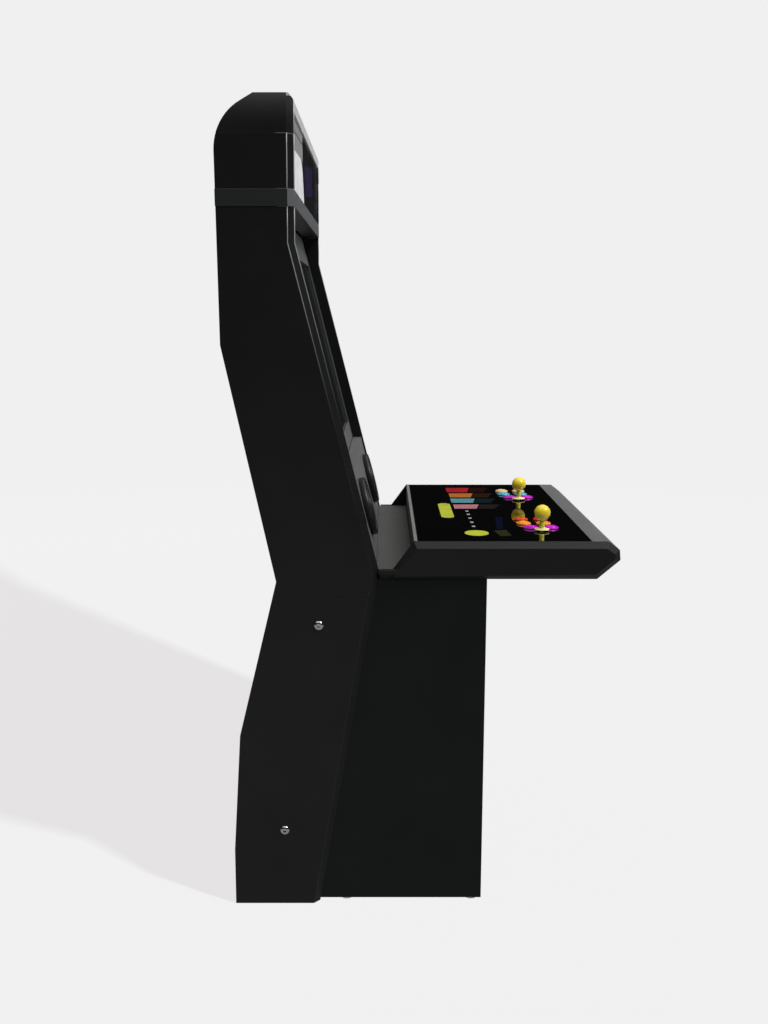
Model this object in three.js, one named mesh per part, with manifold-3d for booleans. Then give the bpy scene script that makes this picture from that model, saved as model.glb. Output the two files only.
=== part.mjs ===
// Upright two-player arcade cabinet, in millimetres.
// +X is the player's right, -Y is the front where the players stand, +Z is up.
// The origin is on the floor, under the centre of the outer box.
import * as THREE from 'three';
import * as BufferGeometryUtils from 'three/addons/utils/BufferGeometryUtils.js';
import Module from 'manifold-3d';

const wasm = await Module();
wasm.setup();

// ---------- driving dimensions ----------
const CABINET_WIDTH = 752;
const SIDE_THICKNESS = 14;
const BEVEL = 13;
const GAP = 0.3;
const HALF_WIDTH = CABINET_WIDTH / 2;
const HALF_INSIDE = HALF_WIDTH - SIDE_THICKNESS;
const HALF_PANEL = HALF_INSIDE - GAP;

// side outline, as [y, z] points
const REAR_Y = 411.5;
const HEIGHT = 1700;
const ANKLE = [410.5, 129];
const CALF = [392, 396.5];
const WAIST = [307.5, 738];
const SHOULDER = [409, 1225];
const HOOD_ARC_CENTRE = [304.5, 1594];
const HOOD_ARC_RADIUS = 105.5;
const HOOD_ARC_END = Math.PI / 3;
const HOOD_TOP_REAR_Y = 333;
const HOOD_TOP_FRONT_Y = 265;
const HOOD_LIP = [255.5, 1688];
const BROW = [258, 1422];
const KNEE = [93, 758];
const TOE_Y = 225;

// heights of the seams round the cabinet
const BASE_SEAM_Z = 700;
const BAND_BOTTOM_Z = 1491;
const BAND_TOP_Z = 1523.5;
const CAP_SEAM_Z = 1626;
const BAND_PROUD = 1.5;
const BAND_REAR_Y = 410.5;
const BAND_OPENING = { x: 350, frontY: 299, rearY: 397 };

// hood shell, as [y, z] points and planes
const CAP_HOLLOW_FLOOR_Z = 1576;
const CAP_HOLLOW_FRONT_Y = 268;
const CAP_HOLLOW_ROOF = [[385, 1645], [362, 1672], [338, 1689]];
const CAP_LIP_BOTTOM_Z = 1668;
const CAP_OPENING_REAR_Y = 280;

// panels across the rear
const REAR_PANEL_FRONT_Y = 396;
const REAR_PANEL_REAR_Y = 406;

// marquee
const MARQUEE_Y = 260;
const MARQUEE_THICKNESS = 4;
const MARQUEE_TOP_Z = 1667.7;
const MARQUEE_LIGHT = { x: 300, frontY: 374, rearY: 394.7, lowZ: 1560, highZ: 1596 };

// base box
const BOX_FRONT_Y = -134;
const BOX_REAR_Y = 284;
const BOX_BOTTOM_Z = 5;
const BOX_TOP_Z = 740.5;
const BOARD = 15;

// control panel
const PANEL_BOTTOM_Z = 741;
const PANEL_TOP_Z = 822;
const PANEL_PLATE = 6;
const PANEL_REAR_Y = 11;
const PANEL_FRONT_Y = -351;
const PANEL_TIP_Y = -411.5;
const DECK_Z = 763;
const EAR_FOOT_Y = 63.5;
const RAIL_REAR_Y = -340;
const TRAY_FLOOR = 9;
const PANEL_REAR_FOOT = KNEE[0] - 1;
const PANEL_EAR = [20.5, PANEL_TOP_Z];
const PANEL_TIP = [[-385.5, PANEL_TOP_Z], [-409.5, 803.5], [PANEL_TIP_Y, 782], [-364, PANEL_BOTTOM_Z]];

// screen and speakers, measured square to the leaning front
const SCREEN_RECESS = 26;
const SCREEN_BOTTOM_Z = 957;
const WINDOW_BOTTOM_Z = 1000;
const WINDOW_TOP_Z = 1415;
const HALF_WINDOW = 354;
const SPEAKER_RECESS = 4;
const SPEAKER_X = 200;
const SPEAKER_Z = 865;
const SPEAKER_RADIUS = 65;
const SPEAKER_HOLE_RADIUS = 53;
const SPEAKER_BOARD = 9;
const BEZEL_BOARD = 5;
const DISPLAY = { halfWidth: 359, back: -30, boxHalfWidth: 220, boxHalfHeight: 120, boxBack: -55 };

// controls
const PIVOT_Z = 802;
const STICK_Y = -262;
const STICK_X = { left: -260, right: 122 };
const BALL_RADIUS = 17.5;
const BALL_Z = PANEL_TOP_Z + 41;
const BUTTON_RADIUS = 12;
const BUTTON_HOLE_RADIUS = 14.5;
const BUTTON_PROUD = 5;
const BUTTON_COLUMNS = [32, 78.5, 125];
const BUTTON_ROWS = { back: -242, front: -287 };
const OUTER_COLUMN_SHIFT = 9;
const CAVITY_RADIUS = 16;
const HOUSING_RADIUS = 20;
const RING_OUTER = 13.5;
const RING_INNER = 8.5;

// service door in the sloping rear
const DOOR_THICKNESS = 12;
const DOOR_MARGIN = 8;
const HINGE_RADIUS = 2.7;
const HINGE_PROUD = 2;
const LOCK_RADIUS = 9.5;
const LOCK_FROM_TOP = 33;

// panel and power inlet at the foot of the rear
const REAR_INSET = 4;
const REAR_BOARD = 12;
const INLET_X = 250;
const INLET_Z = 78;
const INLET_HOLE = [25, 15];

const LEAN = Math.atan2(BROW[0] - KNEE[0], BROW[1] - KNEE[1]);

// ---------- colours ----------
const finishes = {
  side: new THREE.MeshStandardMaterial({ color: 0x191a1b, roughness: 0.42, metalness: 0.0 }),
  box: new THREE.MeshStandardMaterial({ color: 0x161a19, roughness: 0.5, metalness: 0.0 }),
  trim: new THREE.MeshStandardMaterial({ color: 0x34373a, roughness: 0.45, metalness: 0.0 }),
  board: new THREE.MeshStandardMaterial({ color: 0x1b1b1b, roughness: 0.7, metalness: 0.0 }),
  bezel: new THREE.MeshStandardMaterial({ color: 0x3a3b3c, roughness: 0.5, metalness: 0.0 }),
  deck: new THREE.MeshStandardMaterial({ color: 0x4a4a49, roughness: 0.55, metalness: 0.0 }),
  gloss: new THREE.MeshStandardMaterial({ color: 0x050506, roughness: 0.05, metalness: 0.0 }),
  screen: new THREE.MeshStandardMaterial({ color: 0x0b0f10, roughness: 0.12, metalness: 0.0 }),
  marquee: new THREE.MeshStandardMaterial({ color: 0x2a2636, roughness: 0.15, metalness: 0.0 }),
  grille: new THREE.MeshStandardMaterial({ color: 0x0c0c0d, roughness: 0.6, metalness: 0.0 }),
  steel: new THREE.MeshStandardMaterial({ color: 0x8d9196, roughness: 0.35, metalness: 0.9 }),
  chrome: new THREE.MeshStandardMaterial({ color: 0xc8cacc, roughness: 0.12, metalness: 1.0 }),
  glide: new THREE.MeshStandardMaterial({ color: 0xb9b9b4, roughness: 0.6, metalness: 0.0 }),
  yellow: new THREE.MeshStandardMaterial({ color: 0xf2d92e, roughness: 0.25, metalness: 0.0 }),
  magenta: new THREE.MeshStandardMaterial({ color: 0xd81fd8, roughness: 0.3, metalness: 0.0 }),
  orange: new THREE.MeshStandardMaterial({ color: 0xf59a20, roughness: 0.3, metalness: 0.0 }),
  red: new THREE.MeshStandardMaterial({ color: 0xd02a0c, roughness: 0.3, metalness: 0.0 }),
  cyan: new THREE.MeshStandardMaterial({ color: 0x55b8cc, roughness: 0.3, metalness: 0.0 }),
  cream: new THREE.MeshStandardMaterial({ color: 0xf2c890, roughness: 0.3, metalness: 0.0 }),
};

// ---------- shape helpers ----------
const cabinet = new THREE.Group();

function named(name, geometry, finish, parent = cabinet) {
  const mesh = new THREE.Mesh(geometry, finishes[finish]);
  mesh.name = name;
  parent.add(mesh);
  return mesh;
}

function toSolid(geometry) {
  const bare = geometry.clone();
  bare.deleteAttribute('normal');
  bare.deleteAttribute('uv');
  const merged = BufferGeometryUtils.mergeVertices(bare, 1e-4);
  return new wasm.Manifold(new wasm.Mesh({
    numProp: 3,
    vertProperties: merged.attributes.position.array,
    triVerts: new Uint32Array(merged.index.array),
  }));
}

function toGeometry(solid) {
  const mesh = solid.getMesh();
  const geometry = new THREE.BufferGeometry();
  geometry.setAttribute('position', new THREE.BufferAttribute(mesh.vertProperties, 3));
  geometry.setIndex(new THREE.BufferAttribute(mesh.triVerts, 1));
  return geometry;
}

// A closed outline, given as [a, b] points.
function outline(points) {
  return new THREE.Shape(points.map(([a, b]) => new THREE.Vector2(a, b)));
}

// Turns a [y, z] shape extruded along Z so that it runs along X.
const profileToX = new THREE.Matrix4().makeBasis(
  new THREE.Vector3(0, 1, 0), new THREE.Vector3(0, 0, 1), new THREE.Vector3(1, 0, 0));

// Extrudes a [y, z] shape along X, from x0 to x1.
function alongX(shape, x0, x1) {
  const options = { depth: x1 - x0, bevelEnabled: false, curveSegments: 6 };
  return new THREE.ExtrudeGeometry(shape, options).applyMatrix4(profileToX).translate(x0, 0, 0);
}

// A box between two corners.
function block(low, high) {
  const size = high.map((value, i) => value - low[i]);
  const middle = high.map((value, i) => (value + low[i]) / 2);
  return new THREE.BoxGeometry(...size).translate(...middle);
}

// A [radius, height] profile turned about Z.
function turned(profile, segments) {
  return new THREE.LatheGeometry(profile.map(([r, h]) => new THREE.Vector2(r, h)), segments)
    .rotateX(Math.PI / 2);
}

// A cylinder along Z, from z0 to z1.
function rod(radius, z0, z1, segments) {
  return new THREE.CylinderGeometry(radius, radius, z1 - z0, segments)
    .rotateX(Math.PI / 2)
    .translate(0, 0, (z0 + z1) / 2);
}

// y of the leaning front line at a height, moved back square to the line.
function frontY(z, recess) {
  return KNEE[0] + (z - KNEE[1]) * Math.tan(LEAN) + recess / Math.cos(LEAN);
}

// Local frame on the leaning front: X across, Y up the slope, Z out to the front.
function leaningGroup(z, recess) {
  const group = new THREE.Group();
  group.position.set(0, frontY(z, recess), z);
  group.rotation.x = Math.PI / 2 - LEAN;
  cabinet.add(group);
  return group;
}

// ---------- side panels ----------
function sideOutline() {
  const shape = new THREE.Shape();
  shape.moveTo(TOE_Y, 0);
  shape.lineTo(REAR_Y, 0);
  shape.lineTo(...ANKLE);
  shape.lineTo(...CALF);
  shape.lineTo(...WAIST);
  shape.lineTo(...SHOULDER);
  shape.lineTo(HOOD_ARC_CENTRE[0] + HOOD_ARC_RADIUS, HOOD_ARC_CENTRE[1]);
  shape.absarc(...HOOD_ARC_CENTRE, HOOD_ARC_RADIUS, 0, HOOD_ARC_END, false);
  shape.lineTo(HOOD_TOP_REAR_Y, HEIGHT);
  shape.lineTo(HOOD_TOP_FRONT_Y, HEIGHT);
  shape.lineTo(...HOOD_LIP);
  shape.lineTo(...BROW);
  shape.lineTo(...KNEE);
  shape.closePath();
  return shape;
}

// The front edges alone, with the rest pushed out so that its bevel is cut away.
function sideBevelOutline() {
  const far = 80;
  const kneeToToe = (TOE_Y - KNEE[0]) / KNEE[1];
  return outline([
    [TOE_Y + far * kneeToToe, -far], [REAR_Y + far, -far], [REAR_Y + far, HEIGHT + far],
    [HOOD_LIP[0], HEIGHT + far], BROW, KNEE,
  ]);
}

// A plate centred on X that is bevelled on both faces; each half is one side panel.
function bevelledPlate(bevelShape, shape, halfWidth) {
  const flat = 2 * (halfWidth - BEVEL);
  const geometry = new THREE.ExtrudeGeometry(bevelShape, {
    depth: flat, bevelEnabled: true, bevelSegments: 1, bevelSize: BEVEL,
    bevelThickness: BEVEL, bevelOffset: -BEVEL, curveSegments: 6,
  });
  geometry.applyMatrix4(profileToX).translate(-flat / 2, 0, 0);
  return toSolid(geometry).intersect(toSolid(alongX(shape, -halfWidth, halfWidth)));
}

const wholeBody = bevelledPlate(sideBevelOutline(), sideOutline(), HALF_WIDTH);

// The slice of the body on one side between two heights.
function sideSlice(side, z0, z1) {
  const low = [side > 0 ? HALF_INSIDE : -HALF_WIDTH - 1, -500, z0];
  const high = [side > 0 ? HALF_WIDTH + 1 : -HALF_INSIDE, 500, z1];
  return toGeometry(wholeBody.intersect(toSolid(block(low, high))));
}

function makeSides() {
  for (const [word, side] of [['left', -1], ['right', 1]]) {
    named(`${word}_base_side`, sideSlice(side, 0, BASE_SEAM_Z - GAP / 2), 'side');
    named(`${word}_upper_side`, sideSlice(side, BASE_SEAM_Z + GAP / 2, BAND_BOTTOM_Z - GAP), 'side');
    named(`${word}_hood_side`, sideSlice(side, BAND_TOP_Z + GAP, CAP_SEAM_Z - GAP / 2), 'side');
  }
}

// ---------- hood ----------
// Top shell of the hood, with a skirt that closes the hood's rear.
function makeHoodCap() {
  const floor = CAP_HOLLOW_FLOOR_Z;
  const shell = wholeBody.intersect(
    toSolid(block([-HALF_WIDTH - 1, 0, CAP_SEAM_Z + GAP / 2], [HALF_WIDTH + 1, 500, HEIGHT + 1])));
  const roofZ = CAP_HOLLOW_ROOF.at(-1)[1];
  const hollow = outline([
    [CAP_HOLLOW_FRONT_Y, floor], [REAR_PANEL_FRONT_Y, floor], ...CAP_HOLLOW_ROOF,
    [CAP_HOLLOW_FRONT_Y, roofZ],
  ]);
  const opening = block([-HALF_INSIDE, 200, floor], [HALF_INSIDE, CAP_OPENING_REAR_Y, CAP_LIP_BOTTOM_Z]);
  const skirt = block(
    [-HALF_PANEL, REAR_PANEL_FRONT_Y - 1, BAND_TOP_Z + GAP],
    [HALF_PANEL, REAR_PANEL_REAR_Y, CAP_SEAM_Z + 4]);
  const cap = shell
    .subtract(toSolid(alongX(hollow, -HALF_INSIDE, HALF_INSIDE)))
    .subtract(toSolid(opening))
    .add(toSolid(skirt));
  named('hood_cap', toGeometry(cap), 'side');
}

// A ring all round the cabinet that stands a little proud of it; its deep front is the soffit
// over the screen.
function makeTrimBand() {
  const x = HALF_WIDTH + BAND_PROUD;
  const front = BROW[0] - BAND_PROUD;
  const ring = outline([
    [-x, BAND_REAR_Y], [-x, front + BEVEL], [BEVEL - x, front], [x - BEVEL, front], [x, front + BEVEL],
    [x, BAND_REAR_Y],
  ]);
  const { x: holeX, frontY: holeFront, rearY: holeRear } = BAND_OPENING;
  const inner = outline([
    [-holeX, holeFront], [holeX, holeFront], [holeX, holeRear], [-holeX, holeRear],
  ]);
  ring.holes.push(new THREE.Path(inner.getPoints()));
  const options = { depth: BAND_TOP_Z - BAND_BOTTOM_Z, bevelEnabled: false };
  const band = new THREE.ExtrudeGeometry(ring, options).translate(0, 0, BAND_BOTTOM_Z);
  named('trim_band', band, 'trim');
}

function makeMarquee() {
  const panel = block(
    [-HALF_PANEL, MARQUEE_Y, BAND_TOP_Z + GAP],
    [HALF_PANEL, MARQUEE_Y + MARQUEE_THICKNESS, MARQUEE_TOP_Z]);
  named('marquee_panel', panel, 'marquee');
  const { x, frontY: lightFront, rearY, lowZ, highZ } = MARQUEE_LIGHT;
  named('marquee_light', block([-x, lightFront, lowZ], [x, rearY, highZ]), 'glide');
}

// ---------- screen and speakers ----------
function makeScreen() {
  const slopeOf = (z) => (z - SCREEN_BOTTOM_Z) / Math.cos(LEAN);
  const group = leaningGroup(SCREEN_BOTTOM_Z, SCREEN_RECESS);
  const top = slopeOf(BAND_BOTTOM_Z - 3);
  const bezel = outline([[-HALF_PANEL, 1], [HALF_PANEL, 1], [HALF_PANEL, top], [-HALF_PANEL, top]]);
  const window = outline([
    [-HALF_WINDOW, slopeOf(WINDOW_BOTTOM_Z)], [HALF_WINDOW, slopeOf(WINDOW_BOTTOM_Z)],
    [HALF_WINDOW, slopeOf(WINDOW_TOP_Z)], [-HALF_WINDOW, slopeOf(WINDOW_TOP_Z)],
  ]);
  bezel.holes.push(new THREE.Path(window.getPoints()));
  const frame = new THREE.ExtrudeGeometry(bezel, { depth: BEZEL_BOARD, bevelEnabled: false });
  named('monitor_bezel', frame.translate(0, 0, -BEZEL_BOARD), 'bezel', group);

  const low = slopeOf(WINDOW_BOTTOM_Z) - 8;
  const high = slopeOf(WINDOW_TOP_Z) + 8;
  const middle = (low + high) / 2;
  const { halfWidth, back, boxHalfWidth, boxHalfHeight, boxBack } = DISPLAY;
  const panel = block([-halfWidth, low, back], [halfWidth, high, -BEZEL_BOARD - GAP]);
  const box = block(
    [-boxHalfWidth, middle - boxHalfHeight, boxBack],
    [boxHalfWidth, middle + boxHalfHeight, back + 10]);
  named('lcd_monitor', toGeometry(toSolid(panel).add(toSolid(box))), 'screen', group);

  const plateFront = boxBack - GAP;
  const plateBack = plateFront - 3.5;
  const railBack = plateBack - 3.2;
  const rail = block([-HALF_PANEL, middle - 20, railBack], [HALF_PANEL, middle + 20, railBack + 3.5]);
  const plate = block([-110, middle - 100, plateBack], [110, middle + 100, plateFront]);
  named('monitor_bracket', toGeometry(toSolid(rail).add(toSolid(plate))), 'steel', group);
}

function makeSpeakers() {
  const bottom = DECK_Z + GAP;
  const top = SCREEN_BOTTOM_Z - 0.7;
  const panelBack = SPEAKER_RECESS + SPEAKER_BOARD;
  const profile = outline([
    [frontY(bottom, SPEAKER_RECESS), bottom], [frontY(bottom, panelBack), bottom],
    [frontY(top - SPEAKER_BOARD, panelBack), top - SPEAKER_BOARD],
    [frontY(top - SPEAKER_BOARD, SCREEN_RECESS), top - SPEAKER_BOARD],
    [frontY(top, SCREEN_RECESS), top], [frontY(top, SPEAKER_RECESS), top],
  ]);
  let panel = toSolid(alongX(profile, -HALF_PANEL, HALF_PANEL));
  const y = frontY(SPEAKER_Z, SPEAKER_RECESS);
  for (const x of [-SPEAKER_X, SPEAKER_X]) {
    const hole = rod(SPEAKER_HOLE_RADIUS, -30, 30, 32)
      .rotateX(Math.PI / 2 - LEAN)
      .translate(x, y, SPEAKER_Z);
    panel = panel.subtract(toSolid(hole));
  }
  named('speaker_panel', toGeometry(panel), 'bezel');

  const cover = [
    [0, 9], [30, 8.6], [50, 7.2], [54, 3], [54, 0.3], [SPEAKER_RADIUS, 0.3],
    [SPEAKER_RADIUS, 7], [SPEAKER_RADIUS - 3, 11], [50, 12.4], [30, 13.6], [0, 14],
  ];
  const driver = [
    [0, -52], [34, -52], [34, -30], [42, -26], [59, -14], [59, -9.3], [46, -9.3], [18, -20], [0, -18],
  ];
  for (const [word, side] of [['left', -1], ['right', 1]]) {
    const group = leaningGroup(SPEAKER_Z, SPEAKER_RECESS);
    group.position.x = side * SPEAKER_X;
    named(`${word}_speaker_cover`, turned(cover, 32), 'grille', group);
    named(`${word}_speaker_driver`, turned(driver, 24), 'board', group);
  }
}

// ---------- rear ----------
function makeRearPanels() {
  const upper = block(
    [-HALF_PANEL, REAR_PANEL_FRONT_Y, SHOULDER[1] + 4],
    [HALF_PANEL, REAR_PANEL_REAR_Y, BAND_BOTTOM_Z - GAP]);
  named('upper_back_panel', upper, 'board');

  const outer = [[REAR_Y, 0.5], ANKLE, CALF, [WAIST[0] + 2, WAIST[1] - 6]]
    .map(([y, z]) => [y - REAR_INSET, z]);
  const inner = outer.map(([y, z]) => [y - REAR_BOARD, z]).reverse();
  const skin = toSolid(alongX(outline([...outer, ...inner]), -HALF_PANEL, HALF_PANEL));
  const [holeX, holeZ] = INLET_HOLE;
  const hole = toSolid(
    block([INLET_X - holeX, 380, INLET_Z - holeZ], [INLET_X + holeX, 420, INLET_Z + holeZ]));
  named('base_back_panel', toGeometry(skin.subtract(hole)), 'board');
}

// Power inlet: a flanged socket body in the rear panel.
function makeInlet() {
  const flangeY = REAR_Y - REAR_INSET + 0.4;
  const part = (halfX, halfZ, y0, y1) => toSolid(block(
    [INLET_X - halfX, flangeY + y0, INLET_Z - halfZ], [INLET_X + halfX, flangeY + y1, INLET_Z + halfZ]));
  const flange = part(30, 21, 0, 2);
  const body = part(24, 14, -34, 1);
  const socket = part(13, 9, -18, 9);
  named('power_inlet', toGeometry(flange.add(body).subtract(socket)), 'grille');
}

// The door in the sloping rear, hinged on its right edge. Its local frame has X across, Y up the slope
// and Z into the cabinet, with its outer face at Z 0.
function makeServiceDoor() {
  const dy = SHOULDER[0] - WAIST[0];
  const dz = SHOULDER[1] - WAIST[1];
  const length = Math.hypot(dy, dz);
  const group = new THREE.Group();
  group.position.set(0, WAIST[0], WAIST[1]);
  group.rotation.x = Math.PI / 2 - Math.atan2(dy, dz);
  cabinet.add(group);
  const low = DOOR_MARGIN;
  const high = length - DOOR_MARGIN;
  const edge = HALF_INSIDE - HINGE_PROUD;
  const lockY = high - LOCK_FROM_TOP;
  const knuckle = new THREE.CylinderGeometry(HINGE_RADIUS, HINGE_RADIUS, high - low - 20, 12)
    .translate(edge, (low + high) / 2, -HINGE_PROUD);
  const lockHole = rod(LOCK_RADIUS + 0.5, -5, DOOR_THICKNESS + 5, 24).translate(0, lockY, 0);
  const leaf = toSolid(block([-edge, low, 0], [edge, high, DOOR_THICKNESS]))
    .add(toSolid(knuckle))
    .subtract(toSolid(lockHole));
  named('service_door', toGeometry(leaf), 'board', group);

  const barrel = toSolid(rod(LOCK_RADIUS, -1.5, 20, 24))
    .add(toSolid(rod(12, -2.5, -0.4, 24)))
    .add(toSolid(block([-50, -8, 16], [8, 8, 19])))
    .subtract(toSolid(block([-1.2, -4.5, -5], [1.2, 4.5, 1])));
  named('door_lock', toGeometry(barrel.translate(0, lockY, 0)), 'chrome', group);
}

// ---------- base ----------
function makeBase() {
  const side = HALF_PANEL;
  const inside = HALF_PANEL - BOARD;
  for (const [word, sign] of [['left', -1], ['right', 1]]) {
    const x = [sign * side, sign * inside].sort((a, b) => a - b);
    named(`base_${word}_panel`,
      block([x[0], BOX_FRONT_Y, BOX_BOTTOM_Z], [x[1], BOX_REAR_Y, BOX_TOP_Z]), 'box');
  }
  const fit = inside - GAP;
  named('base_front_panel',
    block([-fit, BOX_FRONT_Y, BOX_BOTTOM_Z], [fit, BOX_FRONT_Y + BOARD, BOX_TOP_Z]), 'box');
  named('base_floor',
    block([-fit, BOX_FRONT_Y + BOARD + GAP, BOX_BOTTOM_Z], [fit, 391, BOX_BOTTOM_Z + 12]), 'board');
  named('computer', block([-100, 40, BOX_BOTTOM_Z + 12 + GAP], [100, 370, BOX_BOTTOM_Z + 112]), 'steel');

  const glideTop = BOX_BOTTOM_Z - GAP;
  const glide = [[0, 0], [13, 0], [15, 1.5], [15, glideTop], [0, glideTop]];
  for (const [place, y] of [['front', -112], ['middle', 166]]) {
    for (const [word, x] of [['left', -345], ['right', 345]]) {
      named(`${place}_${word}_glide`, turned(glide, 20), 'glide').position.set(x, y, 0);
    }
  }
}

// Domed socket-head bolts that hold the side panels to the base.
function makeBolts() {
  const profile = [[0, GAP], [10.5, GAP], [10.5, 1.6], [8.6, 4], [5, 5.4], [0, 5.8]];
  const socket = toSolid(
    new THREE.CylinderGeometry(3.4, 3.4, 6, 6).rotateX(Math.PI / 2).translate(0, 0, 6.4));
  const head = toGeometry(toSolid(turned(profile, 24)).subtract(socket));
  for (const [level, y, z] of [['upper', 219.5, 644], ['lower', 299.5, 177]]) {
    for (const [word, sign] of [['left', -1], ['right', 1]]) {
      const bolt = named(`${level}_${word}_bolt`, head, 'chrome');
      bolt.position.set(sign * HALF_WIDTH, y, z);
      bolt.rotation.y = sign * Math.PI / 2;
    }
  }
}

// ---------- control panel ----------
// The control panel's two sides, bevelled all round but for the end that meets the cabinet.
function panelSides() {
  const far = 60;
  const earSlope = (EAR_FOOT_Y - PANEL_EAR[0]) / (PANEL_TOP_Z - DECK_Z);
  const earFoot = [PANEL_EAR[0] + earSlope * (PANEL_TOP_Z - PANEL_BOTTOM_Z), PANEL_BOTTOM_Z];
  const arm = outline([earFoot, PANEL_EAR, ...PANEL_TIP]);
  const shoulder = outline([
    [EAR_FOOT_Y - 30, PANEL_BOTTOM_Z], [PANEL_REAR_FOOT, PANEL_BOTTOM_Z],
    [PANEL_REAR_FOOT, DECK_Z], [EAR_FOOT_Y - 30, DECK_Z],
  ]);
  const shoulderBevel = outline([
    [-far, PANEL_BOTTOM_Z], [PANEL_REAR_FOOT + far, PANEL_BOTTOM_Z],
    [PANEL_REAR_FOOT + far, DECK_Z + far], [-far, DECK_Z + far],
  ]);
  return bevelledPlate(arm, arm, HALF_WIDTH).add(bevelledPlate(shoulderBevel, shoulder, HALF_WIDTH));
}

function makePanelBody() {
  const whole = panelSides();
  for (const [word, side] of [['left', -1], ['right', 1]]) {
    const low = [side > 0 ? HALF_INSIDE : -HALF_WIDTH - 1, -500, 700];
    const high = [side > 0 ? HALF_WIDTH + 1 : -HALF_INSIDE, 500, 900];
    named(`panel_${word}_side`, toGeometry(whole.intersect(toSolid(block(low, high)))), 'side');
  }
  const rail = outline([
    [PANEL_FRONT_Y - GAP, PANEL_TOP_Z], ...PANEL_TIP, [RAIL_REAR_Y, PANEL_BOTTOM_Z],
    [RAIL_REAR_Y, 755], [PANEL_FRONT_Y - GAP, 770],
  ]);
  named('panel_front_rail', alongX(rail, -HALF_PANEL, HALF_PANEL), 'trim');

  const trayFrontY = RAIL_REAR_Y + GAP;
  const trayFloorZ = PANEL_BOTTOM_Z + TRAY_FLOOR;
  const tray = outline([
    [trayFrontY, PANEL_BOTTOM_Z], [PANEL_EAR[0], PANEL_BOTTOM_Z], [PANEL_EAR[0], PANEL_TOP_Z],
    [PANEL_REAR_Y, PANEL_TOP_Z], [PANEL_REAR_Y, trayFloorZ], [trayFrontY, trayFloorZ],
  ]);
  named('panel_tray', alongX(tray, -HALF_PANEL, HALF_PANEL), 'side');
  const deck = block(
    [-HALF_PANEL, PANEL_EAR[0] + GAP, DECK_Z - 12],
    [HALF_PANEL, frontY(DECK_Z, SPEAKER_RECESS), DECK_Z]);
  named('deck_panel', deck, 'deck');
}

// Centres of one player's six buttons, as [x, y, column].
function buttonPlaces(stickX) {
  const places = [];
  for (const rowY of [BUTTON_ROWS.back, BUTTON_ROWS.front]) {
    BUTTON_COLUMNS.forEach((offset, column) => {
      places.push([stickX + offset, rowY + (column > 0 ? OUTER_COLUMN_SHIFT : 0), column]);
    });
  }
  return places;
}

function makePanelPlate() {
  const bottom = PANEL_TOP_Z - PANEL_PLATE;
  let plate = toSolid(block(
    [-HALF_PANEL, PANEL_FRONT_Y, bottom], [HALF_PANEL, PANEL_REAR_Y - GAP, PANEL_TOP_Z]));
  for (const stickX of Object.values(STICK_X)) {
    const stickHole = rod(14, bottom - 5, PANEL_TOP_Z + 5, 24).translate(stickX, STICK_Y, 0);
    plate = plate.subtract(toSolid(stickHole));
    for (const [x, y] of buttonPlaces(stickX)) {
      const hole = rod(BUTTON_HOLE_RADIUS, bottom - 5, PANEL_TOP_Z + 5, 24).translate(x, y, 0);
      plate = plate.subtract(toSolid(hole));
    }
  }
  named('panel_plate', toGeometry(plate), 'gloss');
}

// ---------- joysticks ----------
function makeStick(word, stickX) {
  const group = new THREE.Group();
  group.position.set(stickX, STICK_Y, PIVOT_Z);
  cabinet.add(group);

  const underPlate = PANEL_TOP_Z - PANEL_PLATE - GAP - PIVOT_Z;
  const housing = toSolid(block([-34, -45, underPlate - 3], [15, 45, underPlate]))
    .add(toSolid(rod(HOUSING_RADIUS, -24, underPlate - 1, 24)))
    .subtract(toSolid(rod(CAVITY_RADIUS, -40, 40, 24)));
  named(`${word}_stick_housing`, toGeometry(housing), 'grille', group);

  const pin = new THREE.CylinderGeometry(1.5, 1.5, 2 * (CAVITY_RADIUS - GAP), 10).rotateZ(Math.PI / 2);
  const ring = toSolid(rod(RING_OUTER, -2.5, 2.5, 24))
    .add(toSolid(pin))
    .subtract(toSolid(rod(RING_INNER, -10, 10, 24)));
  named(`${word}_stick_ring`, toGeometry(ring), 'steel', group);

  const ball = BALL_Z - PIVOT_Z;
  const washer = PANEL_TOP_Z - PIVOT_Z + 3.8;
  const foot = -30;
  const profile = [
    [0, foot], [4, foot], [4, washer], [16.5, washer], [16.5, washer + 1.2],
    [7, washer + 3.2], [5.5, washer + 4],
  ];
  const waistAngle = Math.acos(5.5 / BALL_RADIUS);
  const steps = 8;
  for (let i = 0; i <= steps; i += 1) {
    const angle = -waistAngle + (waistAngle + Math.PI / 2) * i / steps;
    const radius = i === steps ? 0 : BALL_RADIUS * Math.cos(angle);
    profile.push([radius, ball + BALL_RADIUS * Math.sin(angle)]);
  }
  const crossPin = new THREE.CylinderGeometry(1.5, 1.5, 2 * (RING_INNER - GAP), 10);
  const lever = toSolid(turned(profile, 20)).add(toSolid(crossPin));
  named(`${word}_stick_lever`, toGeometry(lever), 'yellow', group);
}

// ---------- buttons ----------
function makeButtons(word, stickX, colours) {
  const top = PANEL_TOP_Z + BUTTON_PROUD;
  const profile = [
    [0, top - 24], [9, top - 24], [9, top - 9], [BUTTON_RADIUS, top - 9],
    [BUTTON_RADIUS, top - 1.2], [BUTTON_RADIUS - 1.2, top], [0, top - 0.8],
  ];
  const cap = turned(profile, 20);
  buttonPlaces(stickX).forEach(([x, y, column], index) => {
    named(`${word}_button_${index + 1}`, cap, colours[column]).position.set(x, y, 0);
  });
}

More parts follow.
